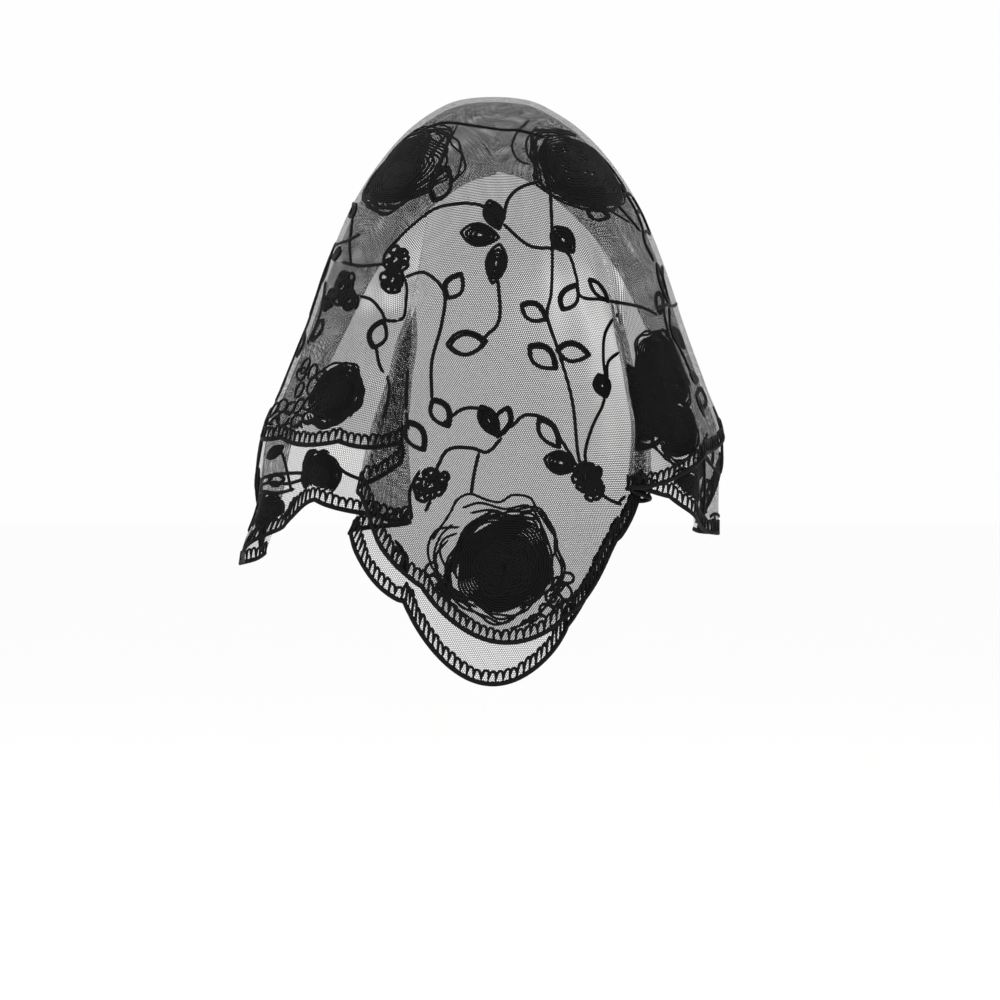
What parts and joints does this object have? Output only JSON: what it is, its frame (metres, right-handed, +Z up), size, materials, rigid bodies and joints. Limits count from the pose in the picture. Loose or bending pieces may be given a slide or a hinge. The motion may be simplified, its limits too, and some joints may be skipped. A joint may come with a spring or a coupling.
{
  "type": "mantilla veil",
  "caption": "Black lace head veil, folded double and draped to a rounded point at the back, with scalloped ladder-stitch borders and raised embroidered roses.",
  "frame": {"origin": "inner face of the net at the crown, where the wearer's head carries it", "axes": "-Y out of the wearer's back, the side the picture shows; +Z up; +X to the wearer's right"},
  "size_m": [0.3831, 0.2135, 0.455],
  "materials": {
    "net": "fine hexagonal net, matte, see-through",
    "border_cord": "corded edging thread with a faint sheen",
    "embroidery": "satin-stitched embroidery thread"
  },
  "bodies": {
    "root": {"folded_net": "net", "border_outer": "border_cord", "border_inner": "border_cord", "rose_back_point": "embroidery", "rose_crown_left": "embroidery", "rose_crown_right": "embroidery", "rose_side_left": "embroidery", "rose_side_right": "embroidery"}
  },
  "joints": []
}
